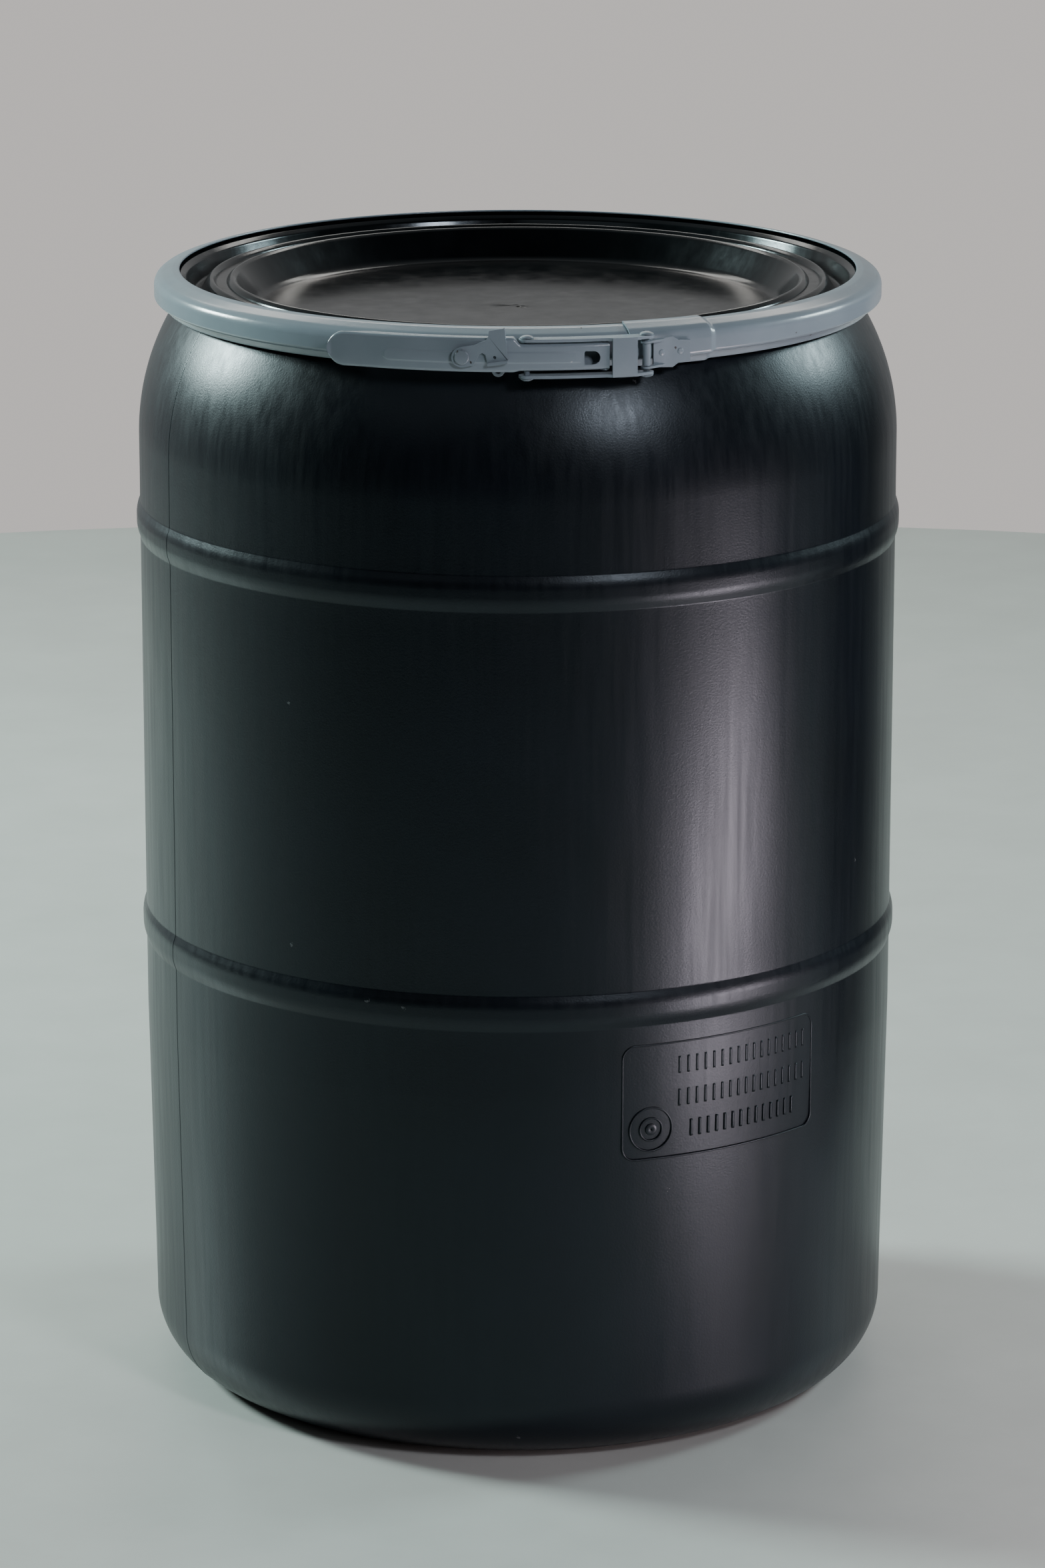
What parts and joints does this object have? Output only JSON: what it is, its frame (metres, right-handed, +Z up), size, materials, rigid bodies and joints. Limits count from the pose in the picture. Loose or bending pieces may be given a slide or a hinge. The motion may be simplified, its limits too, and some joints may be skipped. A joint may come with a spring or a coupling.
{
  "type": "open-head plastic drum with lever-lock ring",
  "caption": "Upright open-head drum with rolling hoops and rounded shoulder, its ribbed lid clamped by a steel band with an over-centre lever, link and safety latch.",
  "frame": {"origin": "centre of the drum's footprint, at floor level", "axes": "+Z up along the drum, -Y towards the closure lever at the front, +X to the right seen from the front"},
  "size_m": [0.495, 0.495, 0.7373],
  "materials": {
    "body_plastic": "black blow-moulded polyethylene, low sheen with a fine leathery grain",
    "lid_plastic": "black moulded polyethylene, smooth and glossy",
    "gasket_rubber": "soft matte rubber",
    "band_enamel": "glossy blue-grey enamel on steel sheet, a few chips and specks",
    "rivet_enamel": "the same blue-grey enamel over steel rivets and pins"
  },
  "bodies": {
    "drum": {"drum_body": "body_plastic"},
    "lid": {"lid": "lid_plastic", "gasket": "gasket_rubber"},
    "band_back": {"ring_band_back": "band_enamel"},
    "band_left": {"ring_band_left": "band_enamel", "left_bracket": "band_enamel", "seal_eye": "band_enamel"},
    "band_right": {"ring_band_right": "band_enamel", "right_bracket": "band_enamel", "hinge_barrel": "band_enamel", "hinge_pin": "rivet_enamel"},
    "lever": {"lever": "band_enamel", "fulcrum_pin": "rivet_enamel", "latch_rivet": "rivet_enamel", "link_rivet_upper": "rivet_enamel", "link_rivet_lower": "rivet_enamel"},
    "link": {"link": "band_enamel", "end_rivet_upper": "rivet_enamel", "end_rivet_lower": "rivet_enamel"},
    "latch": {"safety_latch": "band_enamel"}
  },
  "joints": [
    {"name": "lid_lift", "type": "slide", "parent": "drum", "child": "lid", "axis": [0, 0, 1], "range_m": [0, 0.25]},
    {"name": "band_lift", "type": "slide", "parent": "lid", "child": "band_back", "axis": [0, 0, 1], "range_m": [0, 0.15]},
    {"name": "left_flex", "type": "hinge", "parent": "band_back", "child": "band_left", "pos_m": [-0.1173, 0.20317, 0.7305], "axis": [0, 0, 1], "range_deg": [-3.4, 0]},
    {"name": "right_flex", "type": "hinge", "parent": "band_back", "child": "band_right", "pos_m": [0.1173, 0.20317, 0.7305], "axis": [0, 0, 1], "range_deg": [0, 3.4]},
    {"name": "lever_open", "type": "hinge", "parent": "band_left", "child": "lever", "pos_m": [0.05274, -0.23342, 0.7202], "axis": [0, 0, 1], "range_deg": [0, 120]},
    {"name": "link_turn", "type": "hinge", "parent": "lever", "child": "link", "pos_m": [0.00563, -0.23943, 0.7202], "axis": [0, 0, 1], "range_deg": [-80, 0]},
    {"name": "latch_turn", "type": "hinge", "parent": "lever", "child": "latch", "pos_m": [-0.0338, -0.24254, 0.7191], "axis": [-0.0905, -0.9959, 0], "range_deg": [0, 70]}
  ],
  "couplings": [
    {"joint": "left_flex", "follows": "lever_open", "ratio": -0.028012},
    {"joint": "right_flex", "follows": "lever_open", "ratio": 0.028012},
    {"joint": "link_turn", "follows": "lever_open", "ratio": -0.66424}
  ]
}
